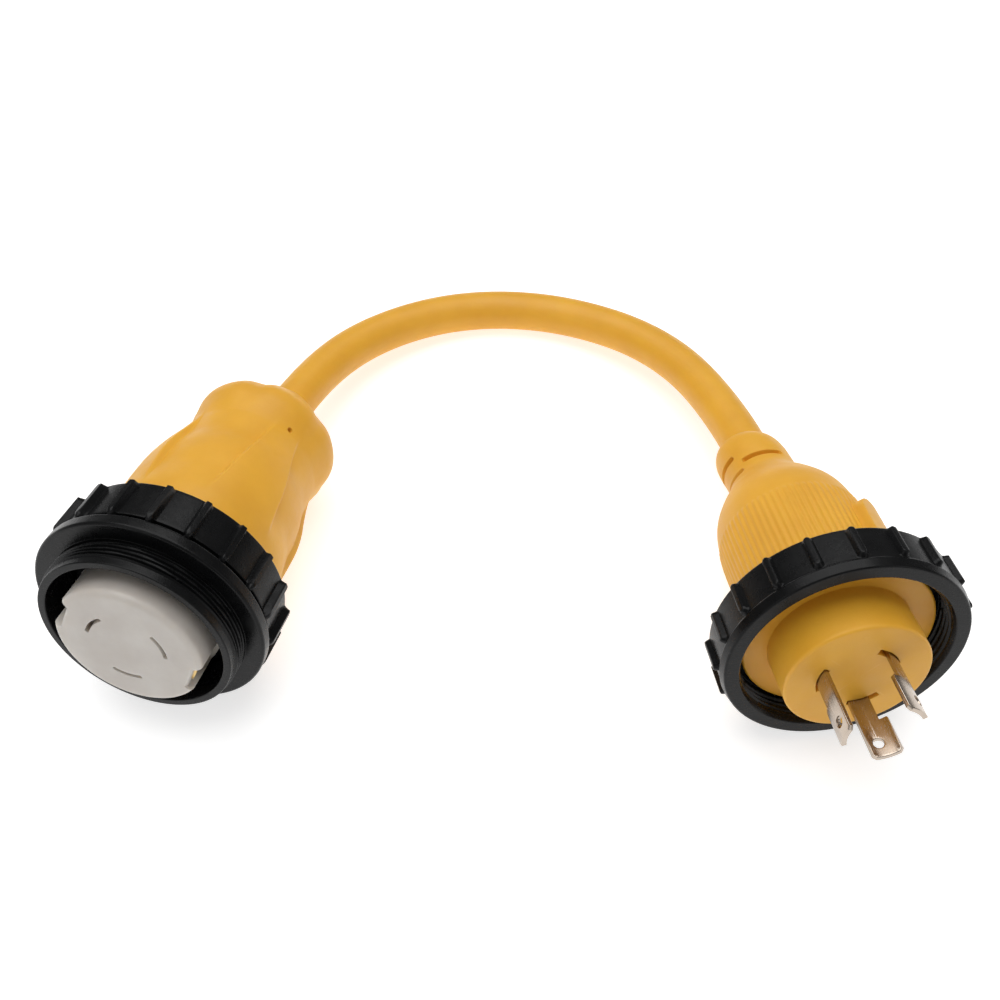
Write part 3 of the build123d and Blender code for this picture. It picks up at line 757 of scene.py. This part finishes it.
def carrier_cutouts(grid, r, z, turn):
    """Two flats cut into the rim, down to a floor."""
    for centre in CUTOUT_ANGLES:
        off = turned(turn, centre)
        wall = CUTOUT_R / np.cos(np.radians(np.clip(off, -40, 40)))
        cut = smooth((CUTOUT_SWEEP / 2 - np.abs(off)) / CUTOUT_EDGE) * (z > CUTOUT_FLOOR)
        outer = np.hypot(grid[..., 0], grid[..., 1])
        start = CARRIER_R - CUTOUT_RIM
        share = np.clip((outer - start) / (CARRIER_R - start), 0, 1)
        target = start + share * (wall - start)
        scale = np.where(outer > start, 1 + cut * (target / np.maximum(outer, 1e-6) - 1), 1.0)
        grid[..., 0] *= scale
        grid[..., 1] *= scale
    return grid


def carrier_step(spot):
    """Fine rings across the slots and at the cut-outs' floor."""
    radius, depth = spot
    if depth > CARRIER_FRONT - 0.1 and abs(radius - SLOT_CIRCLE_R) < 1.4:
        return 0.14
    return 0.25 if abs(depth - CUTOUT_FLOOR) < 0.6 else 0.7


carrier_outline = [
    (0, CARRIER_FRONT, 0),
    (SLOT_CIRCLE_R - 1.5, CARRIER_FRONT, 0),
    (SLOT_CIRCLE_R + 1.5, CARRIER_FRONT, 0),
    (CARRIER_R, CARRIER_FRONT, 2.0),
    (CARRIER_R, CUTOUT_FLOOR + 0.5, 0),
    (CARRIER_R, CUTOUT_FLOOR - 0.5, 0),
    (CARRIER_R, CARRIER_BACK, 0.3),
    (0, CARRIER_BACK, 0),
]
carrier = lathe(
    "contact_carrier", CONNECTOR, carrier_outline, 720, carrier_step,
    field=carrier_field, reshape=carrier_cutouts,
)
dress(carrier, WHITE, "adapter", "carrier", "female_contact_carrier")


# ---- blades -----------------------------------------------------------------------------
def poly_spline(curve, points):
    """A closed run of straight lines in a flat curve."""
    spline = curve.splines.new("POLY")
    spline.points.add(len(points) - 1)
    for point, (x, y) in zip(spline.points, points):
        point.co = (x, y, 0, 1)
    spline.use_cyclic_u = True


def blade(name, centre):
    """A curved blade: a flat plate with its hook, hole and softened edges, bent to its circle."""
    bevel = 0.22
    low = -6.0  # its root, inside the nose
    left = -radians(BLADE_SWEEP / 2) * BLADE_CIRCLE_R
    right = -left
    hook = right + radians(HOOK_SWEEP) * BLADE_CIRCLE_R
    tip = 1.0
    plate = [
        (left, low),
        (right, low),
        (right, HOOK_START),
        (hook - 0.3, HOOK_START),
        (hook, HOOK_START + 0.3),
        (hook, BLADE_LENGTH - tip),
        (hook - tip, BLADE_LENGTH),
        (left + tip, BLADE_LENGTH),
        (left, BLADE_LENGTH - tip),
    ]
    hole = [
        (BLADE_HOLE_R * cos(2 * pi * k / 32), BLADE_HOLE_Z + BLADE_HOLE_R * sin(2 * pi * k / 32))
        for k in range(32)
    ]
    curve = bpy.data.curves.new(f"{name}_plate", "CURVE")
    curve.dimensions = "2D"
    curve.fill_mode = "BOTH"
    curve.extrude = BLADE_THICKNESS / 2 - bevel
    curve.bevel_depth = bevel
    curve.bevel_resolution = 2
    curve.offset = -bevel
    poly_spline(curve, plate)
    poly_spline(curve, hole)
    flat = bpy.data.objects.new(f"{name}_flat", curve)
    mesh = bpy.data.meshes.new_from_object(flat)
    bpy.data.objects.remove(flat)
    bpy.data.curves.remove(curve)
    work = bmesh.new()
    work.from_mesh(mesh)
    bmesh.ops.remove_doubles(work, verts=work.verts, dist=1e-4)
    for cut in np.linspace(left, hook, 18)[1:-1]:
        every = work.verts[:] + work.edges[:] + work.faces[:]
        bmesh.ops.bisect_plane(work, geom=every, plane_co=(cut, 0, 0), plane_no=(1, 0, 0))
    bmesh.ops.recalc_face_normals(work, faces=work.faces)
    for vert in work.verts:
        x, y, z = vert.co
        angle = radians(centre) + x / BLADE_CIRCLE_R
        radius = BLADE_CIRCLE_R + z
        vert.co = (radius * cos(angle), radius * sin(angle), y)
    work.to_mesh(mesh)
    work.free()
    spots = place([v.co[:] for v in mesh.vertices], PLUG)
    mesh.vertices.foreach_set("co", spots.ravel())
    mesh.shade_smooth()
    mesh.set_sharp_from_angle(angle=radians(32))
    mesh.name = name
    piece = bpy.data.objects.new(name, mesh)
    bpy.context.scene.collection.objects.link(piece)
    return piece


for blade_name, blade_angle in BLADE_ANGLES.items():
    piece = blade(f"blade_{blade_name}", blade_angle)
    dress(piece, NICKEL, "adapter", "blades", f"male_blade_{blade_name}")

# ---- cord -------------------------------------------------------------------------------
cord_curve = bpy.data.curves.new("cord", "CURVE")
cord_curve.dimensions = "3D"
cord_line = cord_curve.splines.new("NURBS")
cord_line.points.add(len(CORD_ROUTE) - 1)
for point, spot in zip(cord_line.points, CORD_ROUTE):
    point.co = (*spot, 1.0)
cord_line.order_u = 3
cord_line.use_endpoint_u = True
cord_line.resolution_u = 24
cord_line.use_smooth = True
cord_curve.bevel_depth = CORD_R * MM
cord_curve.bevel_resolution = 10
cord_curve.use_fill_caps = True
cord = bpy.data.objects.new("cord", cord_curve)
bpy.context.scene.collection.objects.link(cord)
dress(cord, CORD_VINYL, "adapter", "cord_jacket", "power_cord")

# ---- inner pieces keep their CAD shape and get a material -------------------------------
INNER = {
    "female_inner_mold": PREMOULD,
    "female_carrier_cover": COVER,
    "female_cover_screws": STEEL,
    "female_contact_hot_x": BRASS,
    "female_contact_hot_y": BRASS,
    "female_contact_neutral": BRASS,
    "female_ground_contact": BRASS,
    "female_hot_jumper": BRASS,
}
for wire_name, wire_material in WIRE_COLOURS.items():
    INNER[f"male_wire_{wire_name}"] = wire_material
    INNER[f"female_wire_{wire_name}"] = wire_material
for node_name, node_material in INNER.items():
    node = frame["nodes"][node_name]
    node.data.materials.clear()
    node.data.materials.append(node_material)

# ---- floor, lights and camera -----------------------------------------------------------
scene = bpy.context.scene
scene.view_settings.view_transform = "Standard"
scene.view_settings.look = "None"


def area_light(name, spot, aim, size, power, colour=(1.0, 1.0, 1.0)):
    """A soft square lamp that faces a point."""
    data = bpy.data.lights.new(name, "AREA")
    data.size = size
    data.energy = power
    data.color = colour
    lamp = bpy.data.objects.new(name, data)
    lamp.location = spot
    lamp.rotation_euler = (Vector(aim) - Vector(spot)).to_track_quat("-Z", "Y").to_euler()
    scene.collection.objects.link(lamp)


FLOOR_HALF, FLOOR_Z = 6.0, -0.0002
FLOOR_GREY, FLOOR_GLOW = 0.72, 0.64
floor_mesh = bpy.data.meshes.new("floor")
floor_corners = [
    (FLOOR_HALF * x, FLOOR_HALF * y, FLOOR_Z)
    for x, y in ((-1, -1), (1, -1), (1, 1), (-1, 1))
]
floor_mesh.from_pydata(floor_corners, [], [(0, 1, 2, 3)])
floor = bpy.data.objects.new("floor", floor_mesh)
scene.collection.objects.link(floor)
floor_material, _, floor_shader = new_material("floor_white", (FLOOR_GREY,) * 3, 0.9)
floor_shader.inputs["Specular IOR Level"].default_value = 0.0
floor_shader.inputs["Emission Color"].default_value = (1, 1, 1, 1)
floor_shader.inputs["Emission Strength"].default_value = FLOOR_GLOW
floor_mesh.materials.append(floor_material)

area_light("overhead", (-0.08, 0.30, 1.05), (0, 0.03, 0), 1.2, 11.3)
area_light("front_left", (-0.85, -0.75, 0.75), (-0.02, 0, 0.02), 0.8, 1.7)
area_light("front_right", (0.95, -0.60, 0.65), (0.05, 0, 0.02), 0.7, 1.2)

world = bpy.data.worlds.new("studio")
world.use_nodes = True
world.node_tree.nodes["Background"].inputs["Color"].default_value = (1, 1, 1, 1)
world.node_tree.nodes["Background"].inputs["Strength"].default_value = 0.22
scene.world = world

CAMERA_SPOT = (0.00106, -0.2024, 0.3132)
CAMERA_ELEVATION = 51.66
camera_data = bpy.data.cameras.new("camera")
camera_data.lens = 37.8
camera_data.sensor_width = 36.0
camera_data.clip_start = 0.01
camera = bpy.data.objects.new("camera", camera_data)
camera.location = CAMERA_SPOT
camera.rotation_euler = (radians(90 - CAMERA_ELEVATION), 0, 0)
scene.collection.objects.link(camera)
scene.camera = camera
